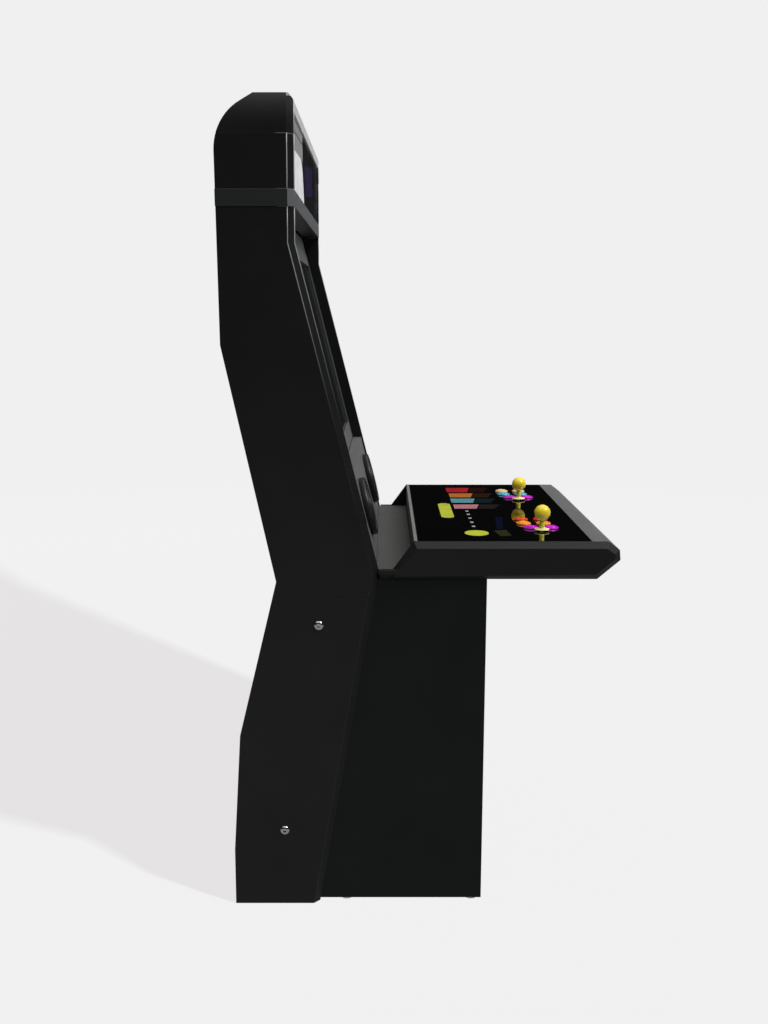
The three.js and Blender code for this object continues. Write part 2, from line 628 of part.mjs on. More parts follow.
makeSides();
makeHoodCap();
makeTrimBand();
makeMarquee();
makeScreen();
makeSpeakers();
makeRearPanels();
makeInlet();
makeServiceDoor();
makeBase();
makeBolts();
makePanelBody();
makePanelPlate();
makeStick('left', STICK_X.left);
makeStick('right', STICK_X.right);
makeButtons('left', STICK_X.left, ['magenta', 'orange', 'red']);
makeButtons('right', STICK_X.right, ['magenta', 'cyan', 'cream']);

export default cabinet;
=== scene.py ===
"""Looks of an upright two-player arcade cabinet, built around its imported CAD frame, in metres."""
import math

import bmesh
import bpy
from mathutils import Matrix, Vector


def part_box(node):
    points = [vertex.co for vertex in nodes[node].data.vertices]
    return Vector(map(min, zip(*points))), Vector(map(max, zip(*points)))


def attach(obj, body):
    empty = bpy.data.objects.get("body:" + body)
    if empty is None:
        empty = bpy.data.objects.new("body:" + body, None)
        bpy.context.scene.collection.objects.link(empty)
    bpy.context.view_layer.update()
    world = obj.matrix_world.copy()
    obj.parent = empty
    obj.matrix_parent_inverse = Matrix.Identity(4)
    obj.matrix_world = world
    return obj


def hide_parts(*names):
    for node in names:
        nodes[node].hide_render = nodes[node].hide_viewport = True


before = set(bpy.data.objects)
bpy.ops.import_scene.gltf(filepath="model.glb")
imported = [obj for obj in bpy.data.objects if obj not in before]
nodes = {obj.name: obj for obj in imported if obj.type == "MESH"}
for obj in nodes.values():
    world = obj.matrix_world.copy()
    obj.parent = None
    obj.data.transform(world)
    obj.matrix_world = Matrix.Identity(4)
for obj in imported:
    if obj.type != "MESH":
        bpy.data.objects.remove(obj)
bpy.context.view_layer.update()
MM = 0.001

# Places, worked out from the frame.
NEAR_FACE_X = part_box("left_upper_side")[0].x
PLATE_LOW, PLATE_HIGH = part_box("panel_plate")
PANEL_TOP = PLATE_HIGH.z
SIDES = ("left", "right")
LEAN = math.radians(13.96)
STICK_HOLE_RADIUS = 14 * MM
BUTTON_HOLE_RADIUS = 14.4 * MM
BALL_RADIUS = 17.5 * MM


# ---------------------------------------------------------------- materials
def node_link(tree, source, target):
    tree.links.new(source, target)


def surface(name, colour, roughness, variation=0.12, mottle=9.0, grain=900.0, bump=0.05,
            rough_span=0.06, metallic=0.0, specular=0.5, coat=0.0, coat_roughness=0.05, ior=1.5):
    """A plastic, board or metal surface: its colour and roughness drift a little over the surface,
    and a fine grain bumps it."""
    material = bpy.data.materials.new(name)
    material.use_nodes = True
    tree = material.node_tree
    shader = tree.nodes["Principled BSDF"]
    shader.inputs["Metallic"].default_value = metallic
    shader.inputs["Specular IOR Level"].default_value = specular
    shader.inputs["IOR"].default_value = ior
    shader.inputs["Coat Weight"].default_value = coat
    shader.inputs["Coat Roughness"].default_value = coat_roughness
    place = tree.nodes.new("ShaderNodeTexCoord")

    drift = tree.nodes.new("ShaderNodeTexNoise")
    drift.inputs["Scale"].default_value = mottle
    drift.inputs["Detail"].default_value = 6.0
    node_link(tree, place.outputs["Object"], drift.inputs["Vector"])
    ramp = tree.nodes.new("ShaderNodeValToRGB")
    ramp.color_ramp.elements[0].position = 0.3
    ramp.color_ramp.elements[1].position = 0.7
    ramp.color_ramp.elements[0].color = (*[c * (1 - variation) for c in colour], 1)
    ramp.color_ramp.elements[1].color = (*[min(1, c * (1 + variation)) for c in colour], 1)
    node_link(tree, drift.outputs["Fac"], ramp.inputs["Fac"])
    node_link(tree, ramp.outputs["Color"], shader.inputs["Base Color"])

    gloss = tree.nodes.new("ShaderNodeMapRange")
    gloss.inputs["To Min"].default_value = max(0.0, roughness - rough_span)
    gloss.inputs["To Max"].default_value = min(1.0, roughness + rough_span)
    smear = tree.nodes.new("ShaderNodeTexNoise")
    smear.inputs["Scale"].default_value = mottle * 2.7
    smear.inputs["Detail"].default_value = 4.0
    node_link(tree, place.outputs["Object"], smear.inputs["Vector"])
    node_link(tree, smear.outputs["Fac"], gloss.inputs["Value"])
    node_link(tree, gloss.outputs["Result"], shader.inputs["Roughness"])

    fine = tree.nodes.new("ShaderNodeTexNoise")
    fine.inputs["Scale"].default_value = grain
    fine.inputs["Detail"].default_value = 3.0
    node_link(tree, place.outputs["Object"], fine.inputs["Vector"])
    lift = tree.nodes.new("ShaderNodeBump")
    lift.inputs["Strength"].default_value = bump
    lift.inputs["Distance"].default_value = 0.0005
    node_link(tree, fine.outputs["Fac"], lift.inputs["Height"])
    node_link(tree, lift.outputs["Normal"], shader.inputs["Normal"])
    return material


LOOKS = {
    "side": surface("black_laminate", (0.0078, 0.0079, 0.0081), 0.42, bump=0.10, specular=0.27),
    "base": surface("green_black_laminate", (0.0046, 0.0066, 0.0058), 0.48, bump=0.12, specular=0.2),
    "trim": surface("grey_trim", (0.110, 0.113, 0.118), 0.34, variation=0.06, bump=0.05),
    # The trim's grey in painted shade, for the band's sides, top and bottom.
    "trim_painted_shade": surface("trim_grey_painted_shade", (0.019, 0.021, 0.0215), 0.40, variation=0.08, bump=0.05),
    # Pale lip colour: partly a retainer strip's own grey, partly painted highlight, and painted light over shade
    # on its underside.
    "lip": surface("lip_strip_painted_highlight", (0.50, 0.50, 0.51), 0.36, variation=0.05, bump=0.04),
    "rim": surface("grey_rim", (0.15, 0.15, 0.15), 0.38, variation=0.06, bump=0.05),
    "board": surface("black_board", (0.012, 0.012, 0.012), 0.62, variation=0.2, bump=0.25, specular=0.3),
    "bezel": surface("grey_bezel", (0.085, 0.086, 0.088), 0.44, variation=0.05, bump=0.05),
    "deck": surface("grey_deck", (0.050, 0.051, 0.047), 0.5, variation=0.05, bump=0.08),
    "rail": surface("grey_rail", (0.108, 0.109, 0.110), 0.36, variation=0.06, bump=0.06),
    "gloss": surface("mirror_black", (0.0012, 0.0012, 0.0014), 0.02, rough_span=0.01, bump=0.0,
                     specular=1.0, coat=1.0, coat_roughness=0.01, ior=2.0),
    "screen": surface("screen_glass", (0.0045, 0.0065, 0.0070), 0.07, rough_span=0.02, bump=0.0,
                      coat=0.6, coat_roughness=0.02),
    "display": surface("display_panel", (0.0066, 0.0086, 0.0094), 0.16, rough_span=0.02, bump=0.02,
                       mottle=2.0, variation=0.25),
    "grille": surface("black_grille", (0.013, 0.013, 0.014), 0.36, bump=0.15),
    "cloth": surface("black_cloth", (0.004, 0.004, 0.004), 0.9, variation=0.4, grain=1600.0, bump=0.5,
                     specular=0.1),
    "rubber": surface("black_rubber", (0.010, 0.010, 0.010), 0.55, bump=0.2),
    "steel": surface("zinc_steel", (0.50, 0.51, 0.53), 0.32, metallic=1.0, bump=0.1),
    "chrome": surface("bright_chrome", (0.62, 0.63, 0.65), 0.10, variation=0.04, metallic=1.0, bump=0.02),
    "glide": surface("pale_glide", (0.55, 0.55, 0.52), 0.55),
    "case": surface("grey_case", (0.10, 0.10, 0.11), 0.45),
    "marquee": surface("marquee_black", (0.010, 0.010, 0.011), 0.30, variation=0.25, bump=0.02,
                       specular=0.3),
    "marquee_grey": surface("marquee_grey", (0.215, 0.215, 0.217), 0.45, variation=0.08, mottle=14.0,
                            bump=0.02, specular=0.2),
    "marquee_white": surface("marquee_white", (0.66, 0.65, 0.67), 0.45, variation=0.14, mottle=34.0,
                             bump=0.02, specular=0.2),
    "marquee_line": surface("marquee_line", (0.055, 0.055, 0.058), 0.45, bump=0.02, specular=0.2),
    "marquee_purple": surface("marquee_purple", (0.0165, 0.0105, 0.038), 0.4, variation=0.2, bump=0.02,
                              specular=0.25),
    "marquee_teal": surface("marquee_teal", (0.0045, 0.0110, 0.0150), 0.4, variation=0.2, bump=0.02,
                            specular=0.25),
    "yellow": surface("yellow_plastic", (0.89, 0.69, 0.030), 0.16, variation=0.03, bump=0.01, coat=0.5),
    "shaft": surface("lime_shaft", (0.76, 0.77, 0.050), 0.22, variation=0.03, bump=0.01, coat=0.3),
    "cream_cover": surface("cream_cover", (0.92, 0.84, 0.36), 0.3, variation=0.03, bump=0.02),
    "magenta": surface("magenta_plastic", (0.68, 0.014, 0.68), 0.18, variation=0.03, bump=0.01, coat=0.4),
    "orange": surface("orange_plastic", (0.91, 0.32, 0.016), 0.18, variation=0.03, bump=0.01, coat=0.4),
    "red": surface("red_plastic", (0.66, 0.040, 0.006), 0.18, variation=0.03, bump=0.01, coat=0.4),
    "cyan": surface("cyan_plastic", (0.09, 0.47, 0.61), 0.18, variation=0.03, bump=0.01, coat=0.4),
    "cream": surface("cream_plastic", (0.88, 0.58, 0.28), 0.18, variation=0.03, bump=0.01, coat=0.4),
}
INKS = {
    "red": (0.56, 0.024, 0.036), "orange": (0.72, 0.22, 0.035), "cyan": (0.16, 0.42, 0.46),
    "pink": (0.66, 0.27, 0.33), "lime": (0.70, 0.76, 0.07), "white": (0.62, 0.64, 0.66),
    "dim_red": (0.032, 0.004, 0.005), "dim_orange": (0.034, 0.015, 0.005),
    "dim_cyan": (0.008, 0.022, 0.025), "dim_pink": (0.026, 0.016, 0.019),
    "dim_lime": (0.034, 0.038, 0.012), "dim_blue": (0.004, 0.006, 0.024),
}
for ink, tint in INKS.items():
    LOOKS[f"ink_{ink}"] = surface(f"ink_{ink}", tint, 0.12, variation=0.10, mottle=30.0, bump=0.0, coat=1.0,
                                  coat_roughness=0.01)


def edge_surface(name, dull, bright, low, high, front_y, roughness=0.32):
    """A laminate whose colour turns brighter between two heights, in front of a given y: painted light that
    stands in for light falling from above.
    """
    material = surface(name, bright, roughness, variation=0.05, bump=0.03)
    tree = material.node_tree
    shader = tree.nodes["Principled BSDF"]
    # Painted light: the brighter colour stands in for the light that falls on the higher parts.
    painted_light_colour = shader.inputs["Base Color"].links[0].from_socket
    place = tree.nodes.new("ShaderNodeTexCoord")
    split = tree.nodes.new("ShaderNodeSeparateXYZ")
    node_link(tree, place.outputs["Object"], split.inputs["Vector"])
    rise = tree.nodes.new("ShaderNodeMapRange")
    rise.interpolation_type = "SMOOTHSTEP"
    rise.inputs["From Min"].default_value = low
    rise.inputs["From Max"].default_value = high
    node_link(tree, split.outputs["Z"], rise.inputs["Value"])
    front = tree.nodes.new("ShaderNodeMath")
    front.operation = "LESS_THAN"
    front.inputs[1].default_value = front_y
    node_link(tree, split.outputs["Y"], front.inputs[0])
    share = tree.nodes.new("ShaderNodeMath")
    share.operation = "MULTIPLY"
    node_link(tree, rise.outputs["Result"], share.inputs[0])
    node_link(tree, front.outputs["Value"], share.inputs[1])
    mix = tree.nodes.new("ShaderNodeMix")
    mix.data_type = "RGBA"
    mix.inputs["A"].default_value = (*dull, 1)
    node_link(tree, share.outputs["Value"], mix.inputs["Factor"])
    node_link(tree, painted_light_colour, mix.inputs["B"])
    node_link(tree, mix.outputs["Result"], shader.inputs["Base Color"])
    return material


# Hood cap: painted light, its colour turning lighter towards the top, where light from above falls.
LOOKS["cap"] = edge_surface("black_moulding", (0.0096, 0.0098, 0.0102), (0.036, 0.036, 0.037),
                            1.635, 1.71, 1.0, roughness=0.34)
# Rounded edges and edge beads: painted highlight lines, pale high up at the front and dark lower down.
LOOKS["edge"] = edge_surface("painted_highlight_edge", (0.0105, 0.0107, 0.0110), (0.48, 0.48, 0.48),
                             1.02, 1.62, 0.290)


# ---------------------------------------------------------------- mesh helpers
def new_piece(name, mesh, look, body, smooth=False):
    piece = bpy.data.objects.new(name, mesh)
    bpy.context.scene.collection.objects.link(piece)
    mesh.materials.clear()
    mesh.materials.append(LOOKS[look])
    if smooth:
        for face in mesh.polygons:
            face.use_smooth = True
    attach(piece, body)
    return piece


def dressed(node, look):
    """A CAD node that is shown as it is, with a better material."""
    mesh = nodes[node].data
    mesh.materials.clear()
    mesh.materials.append(LOOKS[look])


def joined_copy(node):
    """A working copy of a CAD node with its triangles joined into flat faces."""
    work = bmesh.new()
    work.from_mesh(nodes[node].data)
    bmesh.ops.remove_doubles(work, verts=work.verts, dist=1e-5)
    bmesh.ops.dissolve_limit(work, angle_limit=math.radians(0.8), verts=work.verts, edges=work.edges)
    return work


def softened(node, look, radius=1.0 * MM, segments=2, body="cabinet", edge=None, paint=None, work=None):
    """A copy of a CAD node with its flat faces joined up and its edges rounded. The rounded edges can
    have their own look; paint gives some faces another look, as (look, test of the face)."""
    work = work or joined_copy(node)
    mesh = bpy.data.meshes.new(f"{node}_soft")
    work.to_mesh(mesh)
    work.free()
    piece = new_piece(f"{node}_soft", mesh, look, body)
    for other, test in paint or ():
        mesh.materials.append(LOOKS[other])
        for face in mesh.polygons:
            if test(face):
                face.material_index = len(mesh.materials) - 1
    rounding = piece.modifiers.new("rounding", "BEVEL")
    rounding.width = radius
    rounding.segments = segments
    rounding.limit_method = "ANGLE"
    rounding.angle_limit = math.radians(20)
    if edge:
        mesh.materials.append(LOOKS[edge])
        rounding.material = len(mesh.materials) - 1
    piece.modifiers.new("shade", "WEIGHTED_NORMAL")
    for face in mesh.polygons:
        face.use_smooth = True
    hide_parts(node)
    return piece


def lathe(name, profile, look, body, place=Matrix.Identity(4), segments=48):
    """A closed or axis-to-axis (radius, height) profile, in metres, turned about the local Z axis."""
    work = bmesh.new()
    rings = []
    for radius, height in profile:
        if radius < 1e-7:
            rings.append([work.verts.new((0, 0, height))])
            continue
        rings.append([work.verts.new((radius * math.cos(a), radius * math.sin(a), height))
                      for a in (math.tau * k / segments for k in range(segments))])
    closed = len(rings[0]) > 1
    pairs = list(zip(rings, rings[1:]))
    if closed:
        pairs.append((rings[-1], rings[0]))
    for lower, upper in pairs:
        for k in range(segments):
            ring_face(work, lower, upper, k, segments)
    bmesh.ops.recalc_face_normals(work, faces=work.faces)
    mesh = bpy.data.meshes.new(name)
    work.to_mesh(mesh)
    work.free()
    mesh.transform(place)
    return new_piece(name, mesh, look, body, smooth=True)


def ring_face(work, lower, upper, k, segments):
    """One face between two lathe rings; a ring of one vertex is a pole."""
    after = (k + 1) % segments
    if len(lower) == 1 and len(upper) == 1:
        return
    if len(lower) == 1:
        work.faces.new((lower[0], upper[after], upper[k]))
    elif len(upper) == 1:
        work.faces.new((lower[k], lower[after], upper[0]))
    else:
        work.faces.new((lower[k], lower[after], upper[after], upper[k]))


def arc(cx, cz, radius, start, end, steps):
    """Points of an arc in a lathe profile; angles in degrees from the outward direction."""
    points = []
    for k in range(steps + 1):
        angle = math.radians(start + (end - start) * k / steps)
        points.append((max(0.0, cx + radius * math.cos(angle)), cz + radius * math.sin(angle)))
    return points


def plate(name, outlines, depth, look, body, place=Matrix.Identity(4), bevel=0.0, z=0.0):
    """A flat plate with holes: closed 2D outlines filled between and given a depth, top at local z."""
    curve = bpy.data.curves.new(name, "CURVE")
    curve.dimensions = "2D"
    curve.fill_mode = "BOTH"
    curve.extrude = max(0.0, depth / 2 - bevel)
    curve.bevel_depth = bevel
    curve.bevel_resolution = 2
    curve.offset = -bevel
    for points in outlines:
        spline = curve.splines.new("POLY")
        spline.points.add(len(points) - 1)
        for target, (x, y) in zip(spline.points, points):
            target.co = (x, y, 0, 1)
        spline.use_cyclic_u = True
    holder = bpy.data.objects.new(f"{name}_curve", curve)
    bpy.context.scene.collection.objects.link(holder)
    bpy.context.view_layer.update()
    mesh = bpy.data.meshes.new_from_object(holder)
    mesh.name = name
    bpy.data.objects.remove(holder)
    bpy.data.curves.remove(curve)
    mesh.transform(place @ Matrix.Translation((0, 0, z - depth / 2)))
    return new_piece(name, mesh, look, body)


def circle(x, y, radius, steps=40):
    return [(x + radius * math.cos(math.tau * k / steps), y + radius * math.sin(math.tau * k / steps))
            for k in range(steps)]


def rectangle(x0, y0, x1, y1):
    return [(x0, y0), (x1, y0), (x1, y1), (x0, y1)]


def middle(node):
    low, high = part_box(node)
    return (low + high) / 2


# ---------------------------------------------------------------- cabinet body
# Dimensions in mm that the pieces share with the CAD.
BOLT_FACE_X = 376.2
KNEE = (93, 758)
BROW = (258, 1422)
HOOD_LIP = (255.5, 1688)
WAIST = (307.5, 738)
REAR_SLOPE = math.atan2(101.5, 487)
DOOR_LENGTH = math.hypot(101.5, 487)
CAP_SEAM_Z = 1626
HOOD_TOP_Z = 1700
MARQUEE_Y = 260
BACK_Y = 406
SCREEN_BOTTOM_Z = 957
SCREEN_RECESS = 26
SPEAKER_Z = 865
SPEAKER_RECESS = 4
SPEAKER_X = 200
GRILLE_RADIUS = 57


def front_plane(y, z=0.0):
    """Local X across, local Y up, local Z out to the front; y and z in mm."""
    return Matrix.Translation((0, y * MM, z * MM)) @ Matrix.Rotation(math.radians(90), 4, "X")


def rear_plane(y):
    """Local X across towards -X, local Y up, local Z out to the rear."""
    return (Matrix.Translation((0, y * MM, 0)) @ Matrix.Rotation(math.pi, 4, "Z")
            @ Matrix.Rotation(math.radians(90), 4, "X"))


def leaning_plane(z, recess, x=0.0):
    """Local X across, local Y up the leaning front, local Z square out of it."""
    y = KNEE[0] + (z - KNEE[1]) * math.tan(LEAN) + recess / math.cos(LEAN)
    return Matrix.Translation((x * MM, y * MM, z * MM)) @ Matrix.Rotation(math.radians(90) - LEAN, 4, "X")


def door_plane():
    """Local X towards -X, local Y up the service door, local Z square out of it to the rear."""
    return (Matrix.Translation((0, WAIST[0] * MM, WAIST[1] * MM))
            @ Matrix.Rotation(math.radians(90) - REAR_SLOPE, 4, "X") @ Matrix.Rotation(math.pi, 4, "Y"))


def scaled(points):
    return [(x * MM, y * MM) for x, y in points]


def rounded(x0, y0, x1, y1, radius, steps=6):
    """A rectangle outline with rounded corners, in mm."""
    points = []
    for cx, cy, start in ((x1 - radius, y1 - radius, 0), (x0 + radius, y1 - radius, 90),
                          (x0 + radius, y0 + radius, 180), (x1 - radius, y0 + radius, 270)):
        for k in range(steps + 1):
            angle = math.radians(start + 90 * k / steps)
            points.append((cx + radius * math.cos(angle), cy + radius * math.sin(angle)))
    return scaled(points)


def make_hood_cap():
    """The hood's top shell; its side faces lean in a little towards the top."""
    lean_in, start = 6.0 * MM, CAP_SEAM_Z + 4
    work = joined_copy("hood_cap")
    for z in (1634, 1642, 1650, 1658, 1665, 1672, 1678, 1684, 1689, 1694):
        bmesh.ops.bisect_plane(work, geom=work.verts[:] + work.edges[:] + work.faces[:],
                               plane_co=(0, 0, z * MM), plane_no=(0, 0, 1))
    for vert in work.verts:
        share = (vert.co.z / MM - start) / (HOOD_TOP_Z - start)
        if share > 0 and abs(vert.co.x) > 370 * MM:
            vert.co.x -= math.copysign(lean_in * share ** 3, vert.co.x)
    # Front lip: pale colour, partly a retainer strip's own grey and partly painted highlight; its underside is
    # painted light over the shade of the gap.
    softened("hood_cap", "cap", radius=1.6 * MM, segments=3, work=work,
             paint=[("lip", lambda face: abs(face.normal.x) < 0.3 and face.center.z > 1660 * MM
                     and min(face.normal.y, face.normal.z) < -0.5 and face.center.y < 268 * MM)])


def bead(name, points, radius, look, body, corners=8):
    """A thin round bead along a line of points, in mm."""
    work = bmesh.new()
    path = [Vector(point) * MM for point in points]
    sections = []
    for k, point in enumerate(path):
        ahead = (path[min(k + 1, len(path) - 1)] - path[max(k - 1, 0)]).normalized()
        across = ahead.cross(Vector((1, 0, 0))).normalized()
        outward = ahead.cross(across)
        angles = [math.tau * j / corners for j in range(corners)]
        sections.append([
            work.verts.new(point + (across * math.cos(a) + outward * math.sin(a)) * radius * MM)
            for a in angles])
    for lower, upper in zip(sections, sections[1:]):
        for k in range(corners):
            ring_face(work, lower, upper, k, corners)
    work.faces.new(sections[0])
    work.faces.new(list(reversed(sections[-1])))
    bmesh.ops.recalc_face_normals(work, faces=work.faces)
    mesh = bpy.data.meshes.new(name)
    work.to_mesh(mesh)
    work.free()
    return new_piece(name, mesh, look, body, smooth=True)


def make_edge_beads():
    """Thin beads along both borders of the bevel on the front of each side panel; their pale colour is painted
    highlight, fading towards the bottom.
    """
    def front(z):
        if z > BROW[1]:
            return BROW[0] + (z - BROW[1]) * (HOOD_LIP[0] - BROW[0]) / (HOOD_LIP[1] - BROW[1])
        return KNEE[0] + (z - KNEE[1]) * math.tan(LEAN)

    for side, sign in (("left", -1), ("right", 1)):
        for part, heights in (("upper", (860, 1000, 1140, 1280, 1400, BROW[1], 1444, 1490)),
                              ("hood", (1525, 1560, 1600, 1625))):
            for border, x, setback, radius in (("inner", 362.9, 0.2, 1.15), ("outer", 375.4, 12.9, 0.85)):
                points = [(sign * x, front(z) + setback, z) for z in heights]
                bead(f"{side}_{part}_{border}_bead", points, radius, "edge", "cabinet")
        points = [(sign * 362.9, front(z) + 0.2, z) for z in (1627, 1650, 1687)]
        bead(f"{side}_cap_inner_bead", points, 1.25, "edge", "cabinet")


def make_body():
    for side in SIDES:
        # The side panels' rounded edges take the edge look: painted highlight along the front edges, brighter
        # towards the top.
        softened(f"{side}_base_side", "side", edge="edge")
        softened(f"{side}_upper_side", "side", radius=1.8 * MM, edge="edge")
        softened(f"{side}_hood_side", "side", radius=2.2 * MM, edge="edge")
        softened(f"base_{side}_panel", "base")
        softened(f"panel_{side}_side", "side")
    make_hood_cap()
    # The band's sides, top and bottom take a far darker copy of its grey: painted shade.
    softened("trim_band", "trim", paint=[("trim_painted_shade", lambda face: abs(face.normal.x) > 0.9
                                          or abs(face.normal.z) > 0.9)])
    softened("base_front_panel", "base")
    softened("panel_front_rail", "rail", radius=1.5 * MM,
             paint=[("side", lambda face: face.normal.z < -0.2 or face.center.z < 790 * MM)])
    softened("panel_tray", "side")
    softened("deck_panel", "deck")
    softened("speaker_panel", "bezel")
    softened("monitor_bezel", "bezel", radius=0.8 * MM)
    softened("base_back_panel", "board")
    softened("base_floor", "board")
    softened("service_door", "board", body="service_door", paint=[("steel", is_hinge_knuckle)])
    softened("marquee_panel", "marquee", radius=0.5 * MM)
    for node, look in (("lcd_monitor", "screen"), ("monitor_bracket", "steel"), ("computer", "case"),
                       ("marquee_light", "glide"), ("power_inlet", "grille"), ("door_lock", "chrome")):
        dressed(node, look)
    for side in SIDES:
        dressed(f"{side}_speaker_driver", "rubber")
        dressed(f"{side}_stick_housing", "grille")
        dressed(f"{side}_stick_ring", "steel")
        for level in ("front", "middle"):
            dressed(f"{level}_{side}_glide", "glide")


def is_hinge_knuckle(face):
    """Whether a face of the service door belongs to its hinge knuckle, which stands out of it."""
    return (face.center.x > 357 * MM and face.area < 0.012 and abs(face.normal.x) < 0.999
            and door_offset(face.center) > 0.05 * MM)


def door_offset(point):
    """How far a point stands out of the service door's outer face, in metres."""
    return (door_plane().inverted() @ point).z


# ---------------------------------------------------------------- bolts and screws
def hex_head(name, place, look, body, radius, height, socket):
    """A domed head with a hexagonal socket; its foot is at local z 0, in mm."""
    steps = 30
    work = bmesh.new()

    def ring(r, z, count):
        angles = [math.tau * k / count for k in range(count)]
        return [work.verts.new((r * MM * math.cos(a), r * MM * math.sin(a), z * MM)) for a in angles]

    profile = ((1, 0), (1, 0.25), (0.93, 0.5), (0.78, 0.78), (0.58, 0.95), (0.45, 1))
    rings = [ring(radius * out, height * up, steps) for out, up in profile]
    for lower, upper in zip(rings, rings[1:]):
        for k in range(steps):
            ring_face(work, lower, upper, k, steps)
    mouth, pit = ring(socket, height * 0.98, 6), ring(socket, height * 0.35, 6)
    for k in range(6):
        ring_face(work, mouth, pit, k, 6)
        share = steps // 6
        for j in range(share):
            a, b = rings[-1][(k * share + j) % steps], rings[-1][(k * share + j + 1) % steps]
            work.faces.new((a, b, mouth[k] if j < share / 2 else mouth[(k + 1) % 6]))
        middle_vert = rings[-1][(k * share + (share + 1) // 2) % steps]
        work.faces.new((middle_vert, mouth[(k + 1) % 6], mouth[k]))
    work.faces.new(pit)
    work.faces.new(list(reversed(rings[0])))
    bmesh.ops.recalc_face_normals(work, faces=work.faces)
    for face in work.faces:
        face.smooth = len(face.verts) == 4 and face.calc_center_median().xy.length > socket * MM
    mesh = bpy.data.meshes.new(name)
    work.to_mesh(mesh)
    work.free()
    mesh.transform(place)
    return new_piece(name, mesh, look, body)


def make_bolts():
    for side, sign in (("left", -1), ("right", 1)):
        for level in ("upper", "lower"):
            node = f"{level}_{side}_bolt"
            centre = middle(node)
            place = (Matrix.Translation((sign * BOLT_FACE_X * MM, centre.y, centre.z))
                     @ Matrix.Rotation(sign * math.radians(90), 4, "Y"))
            head = hex_head(f"{node}_head", place, "chrome", "cabinet", 10.5, 5.3, 3.6)
            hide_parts(node)


def make_screws():
    flat = rear_plane(BACK_Y)
    for k, (x, z) in enumerate([(sx * 340, z) for sx in (-1, 1) for z in (1245, 1360, 1475)]
                               + [(sx * 115, z) for sx in (-1, 1) for z in (1245, 1475)]):
        place = flat @ Matrix.Translation((x * MM, z * MM, 0.05 * MM))
        hex_head(f"back_screw_{k + 1}", place, "steel", "cabinet", 4.6, 2.4, 1.7)


# ---------------------------------------------------------------- rear
def make_upper_back():
    """The upper back panel, with two blocks of air slots cut through it."""
    low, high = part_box("upper_back_panel")
    outlines = [rectangle(low.x, low.z, high.x, high.z)]
    for column in (-1, 1):
        for row in range(11):
            z = 1290 + row * 14
            outlines.append(rounded(column * 160 - 85, z - 3, column * 160 + 85, z + 3, 2.9))
    piece = plate("upper_back_panel_slotted", outlines, high.y - low.y, "board", "cabinet",
                  rear_plane(high.y / MM), bevel=0.6 * MM)
    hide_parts("upper_back_panel")


def make_door_fittings():
    door = door_plane()
    outlines = [rounded(-150, 330, 150, 430, 6)]
    for row in range(7):
        y = 344 + row * 12
        outlines.append(rounded(-125, y - 2.5, 125, y + 2.5, 2.4))
    plate("door_vent", outlines, 1.2 * MM, "grille", "service_door", door, bevel=0.3 * MM, z=1.3 * MM)
    plate("door_vent_mesh", [rounded(-130, 336, 130, 424, 4)], 0.2 * MM, "cloth", "service_door", door,
          z=0.25 * MM)
    for k, (x, y) in enumerate([(sx * 140, y) for sx in (-1, 1) for y in (340, 420)]):
        hex_head(f"vent_screw_{k + 1}", door @ Matrix.Translation((x * MM, y * MM, 1.3 * MM)), "steel",
                 "service_door", 3.4, 1.4, 1.2)
    hinge = [rectangle(-356.5 * MM, 19 * MM, -338 * MM, (DOOR_LENGTH - 19) * MM)]
    plate("door_hinge_leaf", hinge, 0.9 * MM, "steel", "service_door", door, bevel=0.2 * MM, z=0.95 * MM)
    for k in range(6):
        y = 45 + k * (DOOR_LENGTH - 90) / 5
        hex_head(f"hinge_screw_{k + 1}", door @ Matrix.Translation((-346 * MM, y * MM, 0.95 * MM)), "steel",
                 "service_door", 3.2, 1.3, 1.1)


def make_inlet_pins():
    low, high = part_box("power_inlet")
    centre = (low + high) / 2
    for k, (dx, dz) in enumerate(((-6, -1.5), (0, 3), (6, -1.5))):
        work = bmesh.new()
        bmesh.ops.create_cube(work, size=1.0)
        bmesh.ops.bevel(work, geom=work.edges[:], offset=0.12, segments=2, affect="EDGES")
        mesh = bpy.data.meshes.new(f"inlet_pin_{k + 1}")
        work.to_mesh(mesh)
        work.free()
        mesh.transform(Matrix.Translation((centre.x + dx * MM, high.y - 10 * MM, centre.z + dz * MM))
                       @ Matrix.Diagonal((1.6 * MM, 14 * MM, 4.2 * MM, 1)))
        new_piece(f"inlet_pin_{k + 1}", mesh, "steel", "cabinet")
    for k, dx in enumerate((-26.5, 26.5)):
        place = (Matrix.Translation((centre.x + dx * MM, high.y - 0.1 * MM, centre.z))
                 @ Matrix.Rotation(math.radians(-90), 4, "X"))
        hex_head(f"inlet_screw_{k + 1}", place, "steel", "cabinet", 2.6, 1.4, 1.0)


# ---------------------------------------------------------------- marquee
def make_marquee_art():
    """Flat shapes printed on the marquee, as films on its front face."""
    films = {
        "marquee_grey": [(-361, 1604), (-361, 1667), (-112, 1667), (-112, 1610), (-140, 1612), (-330, 1604)],
        "marquee_white": [(-361, 1525), (-361, 1602), (-330, 1604), (-226, 1609), (-156, 1611), (-134, 1605),
                          (-119, 1594), (-106, 1575), (-96, 1552), (-83, 1525)],
        "marquee_purple": [(-55, 1546), (-55, 1612), (186, 1642), (170, 1572)],
        "marquee_teal": [(200, 1528), (204, 1562), (356, 1546), (356, 1528)],
    }
    for look, points in films.items():
        plate(f"{look}_film", [scaled(points)], 0.2 * MM, look, "cabinet", front_plane(MARQUEE_Y), z=0.22 * MM)
    stripe = [(-361, 1637), (-361, 1640), (-112, 1649), (-112, 1646)]
    plate("marquee_pinstripe", [scaled(stripe)], 0.2 * MM, "marquee_line", "cabinet", front_plane(MARQUEE_Y),
          z=0.4 * MM)


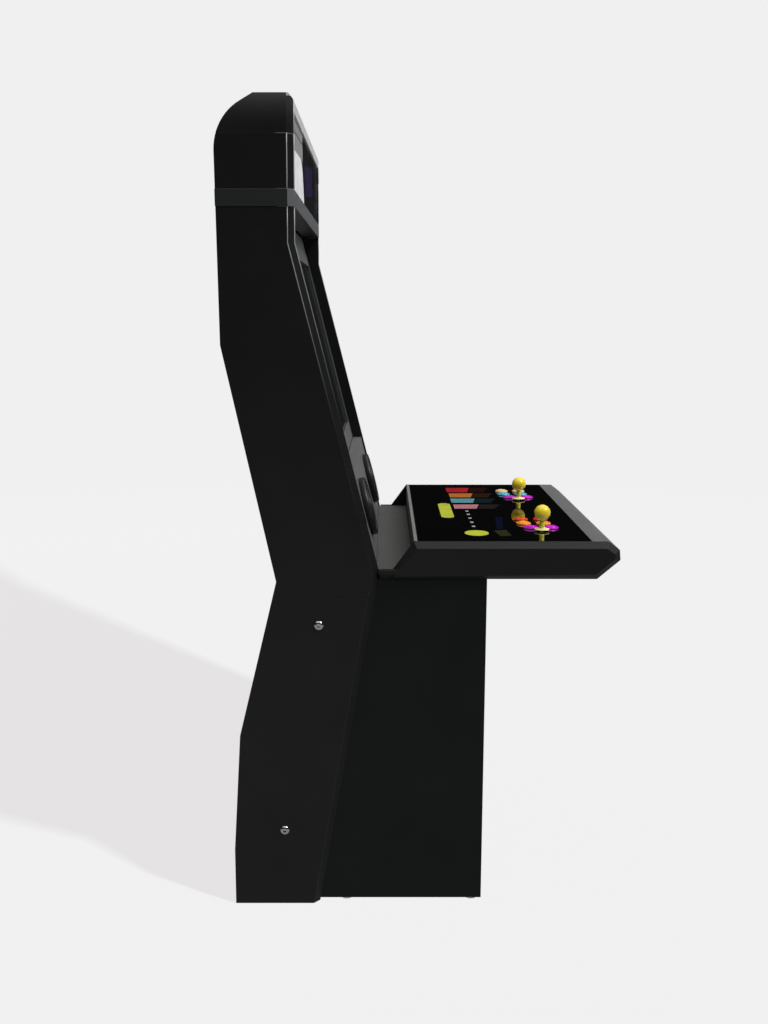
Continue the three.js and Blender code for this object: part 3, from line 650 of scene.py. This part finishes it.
# ---------------------------------------------------------------- screen and speakers
def make_display():
    place = leaning_plane(SCREEN_BOTTOM_Z, SCREEN_RECESS)
    slope = [(z - SCREEN_BOTTOM_Z) / math.cos(LEAN) for z in (1006, 1409)]
    plate("display_active_area", [rectangle(-345 * MM, slope[0] * MM, 345 * MM, slope[1] * MM)], 0.2 * MM,
          "display", "cabinet", place, z=-5.05 * MM)


def dome_height(r):
    """Height of the speaker grille's bars over the speaker panel, at a radius, in mm."""
    return 10.5 + 5.0 * (1 - (r / GRILLE_RADIUS) ** 2)


def speaker_rib(name, place, angle):
    """A thin bar of the grille that follows its dome from the middle to the rim."""
    work = bmesh.new()
    half, thick, steps = 1.1, 1.6, 10
    sections = []
    for k in range(steps + 1):
        r = 3 + (57.5 - 3) * k / steps
        top = dome_height(r) + 0.9
        sections.append([work.verts.new((r * MM, y * MM, z * MM))
                         for y, z in ((-half, top - thick), (half, top - thick), (half, top - 0.3),
                                      (half - 0.4, top), (0.4 - half, top), (-half, top - 0.3))])
    for lower, upper in zip(sections, sections[1:]):
        for k in range(6):
            ring_face(work, lower, upper, k, 6)
    work.faces.new(sections[0])
    work.faces.new(list(reversed(sections[-1])))
    bmesh.ops.recalc_face_normals(work, faces=work.faces)
    mesh = bpy.data.meshes.new(name)
    work.to_mesh(mesh)
    work.free()
    mesh.transform(place @ Matrix.Rotation(angle, 4, "Z"))
    return new_piece(name, mesh, "grille", "cabinet")


def mm_profile(points):
    return [(r * MM, z * MM) for r, z in points]


def make_speakers():
    for side, sign in (("left", -1), ("right", 1)):
        place = leaning_plane(SPEAKER_Z, SPEAKER_RECESS, sign * SPEAKER_X)
        crown = [(60.4 + 4.6 * math.cos(math.radians(a)), 9.6 + 4.6 * math.sin(math.radians(a)))
                 for a in range(0, 181, 20)]
        rim = [(65, 0.3), (65, 9.2)] + crown + [(55.8, 4.0), (55.8, 0.3)]
        ring = lathe(f"{side}_speaker_rim", mm_profile(rim), "grille", "cabinet", place, 64)
        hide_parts(f"{side}_speaker_cover")
        for k, r in enumerate((9, 15.5, 22, 28.5, 35, 41.5, 48)):
            bar = [(r + 1.15 * math.cos(math.radians(a)), dome_height(r) + 1.15 * math.sin(math.radians(a)))
                   for a in range(0, 360, 45)]
            lathe(f"{side}_speaker_ring_{k + 1}", mm_profile(bar), "grille", "cabinet", place, 56)
        hub = [(0, 13.4), (4.5, 13.4), (5.2, 14.8), (4.2, 16.2), (0, 16.8)]
        lathe(f"{side}_speaker_hub", mm_profile(hub), "grille", "cabinet", place, 32)
        cloth = [(0, 12.0), (20, 11.4), (40, 9.4), (55.7, 6.9), (55.7, 0.4), (0, 0.4)]
        lathe(f"{side}_speaker_cloth", mm_profile(cloth), "cloth", "cabinet", place, 48)
        for k in range(8):
            speaker_rib(f"{side}_speaker_rib_{k + 1}", place, math.tau * (k + 0.5) / 8)


# ---------------------------------------------------------------- controls
def button_places():
    """Every button as (body, x, y, look)."""
    looks = {"left": ("magenta", "orange", "red"), "right": ("magenta", "cyan", "cream")}
    for side in SIDES:
        for k in range(6):
            body = f"{side}_button_{k + 1}"
            centre = middle(body)
            yield body, centre.x, centre.y, looks[side][k % 3]


def make_buttons():
    for body, x, y, look in button_places():
        place = Matrix.Translation((x, y, PANEL_TOP))
        bezel = ([(13.0 * MM, -9 * MM), (14.2 * MM, -9 * MM), (14.2 * MM, 0.1 * MM), (16.5 * MM, 0.1 * MM)]
                 + arc(15.0 * MM, 1.6 * MM, 1.5 * MM, 0, 90, 5)
                 + arc(13.7 * MM, 2.4 * MM, 0.7 * MM, 90, 180, 3))
        lathe(f"{body}_bezel", bezel, look, "cabinet", place)
        top = 5 * MM
        cap = ([(0, -19 * MM), (9 * MM, -19 * MM), (9 * MM, -4 * MM), (12 * MM, -4 * MM)]
               + arc(10.4 * MM, top - 1.6 * MM, 1.6 * MM, 0, 90, 5)
               + [(8 * MM, top - 0.5 * MM), (4 * MM, top - 0.9 * MM), (0, top - 1.0 * MM)])
        piece = lathe(f"{body}_plunger", cap, look, body, place)
        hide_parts(body)


def make_plate():
    holes = [circle(x, y, BUTTON_HOLE_RADIUS) for _, x, y, _ in button_places()]
    for side in SIDES:
        pivot = middle(f"{side}_stick_ring")
        holes.append(circle(pivot.x, pivot.y, STICK_HOLE_RADIUS))
    outer = rectangle(PLATE_LOW.x, PLATE_LOW.y, PLATE_HIGH.x, PLATE_HIGH.y)
    piece = plate("panel_plate_fine", [outer] + holes, 6 * MM, "gloss", "cabinet", z=PANEL_TOP)
    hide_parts("panel_plate")


def capsule(x0, x1, y, radius):
    """A bar with round ends that runs from left to right, in mm."""
    points = []
    for cx, start in ((x1 - radius, -90), (x0 + radius, 90)):
        for k in range(9):
            angle = math.radians(start + 180 * k / 8)
            points.append((cx + radius * math.cos(angle), y + radius * math.sin(angle)))
    return points


def make_panel_art():
    """Plain coloured shapes printed on the control panel, as films on its top face."""
    films = []
    for ink, x0, x1, y_back in (("red", 228, 316, -86), ("orange", 150, 228, -89), ("cyan", 72, 150, -88),
                                ("pink", -7, 66, -90)):
        low, high = x0 + 9, x1 - 9
        films.append((ink, [(low, y_back), (low, y_back - 54), (high, y_back - 64), (high, y_back)]))
        films.append((f"dim_{ink}", [(low, y_back - 57), (low, y_back - 98), (high, y_back - 116),
                                     (high, y_back - 67)]))
    films.append(("lime", capsule(-112, 74, -67, 15)))
    for x in (-30, -70, -116, -164, -209):
        films.append(("white", [(x - 6, -121), (x + 6, -121), (x + 6, -114), (x - 6, -114)]))
    films.append(("lime", capsule(-308, -252, -118, 26)))
    films.append(("dim_lime", [(-256, -158), (-250, -186), (-306, -190), (-312, -166)]))
    films.append(("dim_blue", [(-102, -178), (-102, -194), (-240, -180), (-240, -165)]))
    for k, (ink, points) in enumerate(films):
        plate(f"panel_film_{k + 1}_{ink}", [scaled(points)], 0.12 * MM, f"ink_{ink}", "cabinet",
              z=PANEL_TOP + 0.13 * MM)


def make_panel_rim():
    """The pale strip along the rear edge of the control panel."""
    plate("panel_rear_rim", [scaled([(-361, 13.0), (361, 13.0), (361, 19.8), (-361, 19.8)])], 1.2 * MM, "rim",
          "cabinet", bevel=0.3 * MM, z=PANEL_TOP + 0.9 * MM)


def make_sticks():
    for side in SIDES:
        pivot = middle(f"{side}_stick_ring")
        low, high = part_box(f"{side}_stick_lever")
        body = f"{side}_stick_lever"
        place = Matrix.Translation((pivot.x, pivot.y, 0))
        ball_z = high.z - BALL_RADIUS
        ball = arc(0, ball_z, BALL_RADIUS, -90, 90, 32)
        lathe(f"{side}_stick_ball", ball, "yellow", body, place, segments=64)
        cover_z = PANEL_TOP + 3.8 * MM
        shaft = [(0, low.z), (4 * MM, low.z), (4 * MM, cover_z), (5.5 * MM, cover_z + 3 * MM),
                 (5.5 * MM, ball_z - 15 * MM), (0, ball_z - 15 * MM)]
        piece = lathe(f"{side}_stick_shaft", shaft, "shaft", body, place)
        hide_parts(f"{side}_stick_lever")
        cover = [(4.3 * MM, cover_z + 0.6 * MM), (15.6 * MM, cover_z), (16.4 * MM, cover_z + 0.3 * MM),
                 (16.3 * MM, cover_z + 1.0 * MM), (12 * MM, cover_z + 1.9 * MM), (7.2 * MM, cover_z + 3.2 * MM),
                 (5.7 * MM, cover_z + 4.6 * MM), (4.3 * MM, cover_z + 4.6 * MM)]
        lathe(f"{side}_dust_cover", cover, "cream_cover", body, place)


# ---------------------------------------------------------------- stage
PHOTO_DISTANCE = 1.989
PHOTO_Y = 0.0825
PHOTO_HEIGHT = 1.272
PHOTO_PITCH = math.radians(10.96)
PHOTO_LENS = 34.66


def make_camera():
    data = bpy.data.cameras.new("camera")
    data.lens = PHOTO_LENS
    data.sensor_width = 36.0
    camera = bpy.data.objects.new("camera", data)
    bpy.context.scene.collection.objects.link(camera)
    camera.location = (NEAR_FACE_X - PHOTO_DISTANCE, PHOTO_Y, PHOTO_HEIGHT)
    looking = Vector((math.cos(PHOTO_PITCH), 0, -math.sin(PHOTO_PITCH)))
    camera.rotation_mode = "QUATERNION"
    camera.rotation_quaternion = looking.to_track_quat("-Z", "Y")
    data.clip_end = 100
    bpy.context.scene.camera = camera


BACKDROP = 0.871                  # the backdrop's grey, as scene light
SHADOW_SHARE = 0.13               # how much of the floor's shade is real light; the rest is a glow
FLOOR_GLOW = (0.900, 0.874, 0.883)
FLOOR_TINT = (0.677, 0.854, 0.792)
FLOOR_LAMP = (-1.00, -0.85, 2.40)
LAMP_REACH = 3.0                  # distance, in lamp heights, up to which the floor stays evenly lit
LAMP_POWER = 4 * math.pi ** 2 * LAMP_REACH
BOUNCE = 0.30                     # light that the floor sends back at the object


def make_floor():
    """A pale floor that melts into the backdrop away from the object."""
    half = 14.0
    mesh = bpy.data.meshes.new("floor")
    mesh.from_pydata([(-half, -half, 0), (half, -half, 0), (half, half, 0), (-half, half, 0)], [], [(0, 1, 2, 3)])
    floor = bpy.data.objects.new("floor", mesh)
    bpy.context.scene.collection.objects.link(floor)
    material = bpy.data.materials.new("pale_floor")
    material.use_nodes = True
    tree = material.node_tree
    lit = tree.nodes["Principled BSDF"]
    lit.inputs["Roughness"].default_value = 1.0
    lit.inputs["Specular IOR Level"].default_value = 0.0
    glow = tree.nodes.new("ShaderNodeEmission")
    glow.inputs["Color"].default_value = (*FLOOR_GLOW, 1)
    backdrop = tree.nodes.new("ShaderNodeEmission")
    backdrop.inputs["Color"].default_value = (BACKDROP, BACKDROP, BACKDROP, 1)
    bounce = tree.nodes.new("ShaderNodeEmission")
    bounce.inputs["Color"].default_value = (BOUNCE, BOUNCE, BOUNCE, 1)
    place = tree.nodes.new("ShaderNodeTexCoord")
    away = tree.nodes.new("ShaderNodeVectorMath")
    away.operation = "DISTANCE"
    away.inputs[1].default_value = FLOOR_LAMP
    node_link(tree, place.outputs["Object"], away.inputs[0])
    even = tree.nodes.new("ShaderNodeVectorMath")
    even.operation = "SCALE"
    even.inputs[0].default_value = [tint / (FLOOR_LAMP[2] * LAMP_REACH) for tint in FLOOR_TINT]
    node_link(tree, away.outputs["Value"], even.inputs["Scale"])
    node_link(tree, even.outputs["Vector"], lit.inputs["Base Color"])
    reach = tree.nodes.new("ShaderNodeVectorMath")
    reach.operation = "LENGTH"
    node_link(tree, place.outputs["Object"], reach.inputs[0])
    fade = tree.nodes.new("ShaderNodeMapRange")
    fade.interpolation_type = "SMOOTHSTEP"
    fade.inputs["From Min"].default_value = 3.5
    fade.inputs["From Max"].default_value = 6.5
    node_link(tree, reach.outputs["Value"], fade.inputs["Value"])
    near = tree.nodes.new("ShaderNodeMixShader")
    near.inputs["Fac"].default_value = 1 - SHADOW_SHARE
    node_link(tree, lit.outputs["BSDF"], near.inputs[1])
    node_link(tree, glow.outputs["Emission"], near.inputs[2])
    shown = tree.nodes.new("ShaderNodeMixShader")
    node_link(tree, fade.outputs["Result"], shown.inputs["Fac"])
    node_link(tree, near.outputs["Shader"], shown.inputs[1])
    node_link(tree, backdrop.outputs["Emission"], shown.inputs[2])
    path = tree.nodes.new("ShaderNodeLightPath")
    either = tree.nodes.new("ShaderNodeMixShader")
    node_link(tree, path.outputs["Is Camera Ray"], either.inputs["Fac"])
    node_link(tree, bounce.outputs["Emission"], either.inputs[1])
    node_link(tree, shown.outputs["Shader"], either.inputs[2])
    node_link(tree, either.outputs["Shader"], tree.nodes["Material Output"].inputs["Surface"])
    mesh.materials.append(material)
    return floor


def make_world():
    """The backdrop's grey for the camera, and a dim studio for everything else."""
    world = bpy.data.worlds.new("studio")
    bpy.context.scene.world = world
    world.use_nodes = True
    tree = world.node_tree
    shown = tree.nodes["Background"]
    shown.inputs["Color"].default_value = (BACKDROP, BACKDROP, BACKDROP, 1)
    path = tree.nodes.new("ShaderNodeLightPath")
    dim = tree.nodes.new("ShaderNodeBackground")
    dim.inputs["Color"].default_value = (0.12, 0.12, 0.125, 1)
    mirrored = tree.nodes.new("ShaderNodeBackground")
    place = tree.nodes.new("ShaderNodeTexCoord")
    split = tree.nodes.new("ShaderNodeSeparateXYZ")
    node_link(tree, place.outputs["Generated"], split.inputs["Vector"])
    overhead = tree.nodes.new("ShaderNodeMapRange")
    overhead.interpolation_type = "SMOOTHSTEP"
    overhead.inputs["From Min"].default_value = 0.40
    overhead.inputs["From Max"].default_value = 0.95
    overhead.inputs["To Min"].default_value = 0.004
    overhead.inputs["To Max"].default_value = 1.3
    node_link(tree, split.outputs["Z"], overhead.inputs["Value"])
    node_link(tree, overhead.outputs["Result"], mirrored.inputs["Strength"])
    unseen = tree.nodes.new("ShaderNodeMixShader")
    node_link(tree, path.outputs["Is Glossy Ray"], unseen.inputs["Fac"])
    node_link(tree, dim.outputs["Background"], unseen.inputs[1])
    node_link(tree, mirrored.outputs["Background"], unseen.inputs[2])
    mix = tree.nodes.new("ShaderNodeMixShader")
    node_link(tree, path.outputs["Is Camera Ray"], mix.inputs["Fac"])
    node_link(tree, unseen.outputs["Shader"], mix.inputs[1])
    node_link(tree, shown.outputs["Background"], mix.inputs[2])
    node_link(tree, mix.outputs["Shader"], tree.nodes["World Output"].inputs["Surface"])


def area_light(name, location, target, size, power):
    data = bpy.data.lights.new(name, "AREA")
    data.shape = "RECTANGLE"
    data.size, data.size_y = size
    data.energy = power
    light = bpy.data.objects.new(name, data)
    bpy.context.scene.collection.objects.link(light)
    light.location = location
    light.rotation_mode = "QUATERNION"
    light.rotation_quaternion = (Vector(target) - Vector(location)).to_track_quat("-Z", "Y")
    light.visible_camera = False
    light.visible_glossy = False
    return light


SHADOW_CASTERS = (
    "left_base_side_soft", "left_upper_side_soft", "left_hood_side_soft", "trim_band_soft",
    "right_base_side_soft", "right_upper_side_soft", "right_hood_side_soft", "hood_cap_soft",
    "base_back_panel_soft", "service_door_soft", "upper_back_panel_slotted", "marquee_panel_soft",
    "monitor_bezel_soft", "display_active_area", "speaker_panel_soft", "left_speaker_cloth",
    "right_speaker_cloth",
)


def pick_shadow_casters():
    """The upright body throws the shade on the floor. The control panel and the base box are left out,
    since the photograph shows no shade under or beside them."""
    for name in SHADOW_CASTERS:
        bpy.data.collections["floor_shadow"].objects.link(bpy.data.objects[name])


def make_lights(floor):
    sun = bpy.data.lights.new("sun", "SUN")
    sun.energy = 1.6
    sun.angle = math.radians(22)
    holder = bpy.data.objects.new("sun", sun)
    bpy.context.scene.collection.objects.link(holder)
    holder.rotation_mode = "QUATERNION"
    holder.rotation_quaternion = Vector((0.62, 1.15, -1.5)).to_track_quat("-Z", "Y")
    studio = [
        holder,
        area_light("front_softbox", (1.4, -3.2, 2.3), (0, 0, 1.0), (2.2, 2.0), 70),
        area_light("near_low_softbox", (-1.55, 0.25, 0.22), (-0.376, 0.25, 0.35), (1.2, 0.4), 4.1),
        area_light("far_softbox", (3.0, -1.0, 3.0), (0, 0, 1.2), (2.5, 2.0), 60),
        area_light("top_softbox", (0.0, -0.2, 3.9), (0, 0, 1.0), (2.6, 2.6), 70),
    ]
    floor_light = bpy.data.lights.new("floor_light", "POINT")
    floor_light.shadow_soft_size = 0.05
    floor_light.energy = LAMP_POWER
    floor_light.use_nodes = True
    tree = floor_light.node_tree
    falloff = tree.nodes.new("ShaderNodeLightFalloff")
    falloff.inputs["Strength"].default_value = 1.0
    node_link(tree, falloff.outputs["Constant"], tree.nodes["Emission"].inputs["Strength"])
    lamp = bpy.data.objects.new("floor_light", floor_light)
    bpy.context.scene.collection.objects.link(lamp)
    lamp.location = FLOOR_LAMP
    lamp.visible_glossy = False
    floor_only = bpy.data.collections.new("floor_only")
    floor_only.objects.link(floor)
    lamp.light_linking.receiver_collection = floor_only
    lamp.light_linking.blocker_collection = bpy.data.collections.new("floor_shadow")
    all_but_floor = bpy.data.collections.new("all_but_floor")
    all_but_floor.objects.link(floor)
    all_but_floor.collection_objects[0].light_linking.link_state = "EXCLUDE"
    for light in studio:
        light.light_linking.receiver_collection = all_but_floor


make_camera()
make_lights(make_floor())
make_world()
make_body()
make_edge_beads()
make_bolts()
make_screws()
make_upper_back()
make_door_fittings()
make_inlet_pins()
make_marquee_art()
make_display()
make_speakers()
make_plate()
make_panel_art()
make_panel_rim()
make_buttons()
make_sticks()
pick_shadow_casters()
bpy.context.scene.view_settings.view_transform = "Standard"
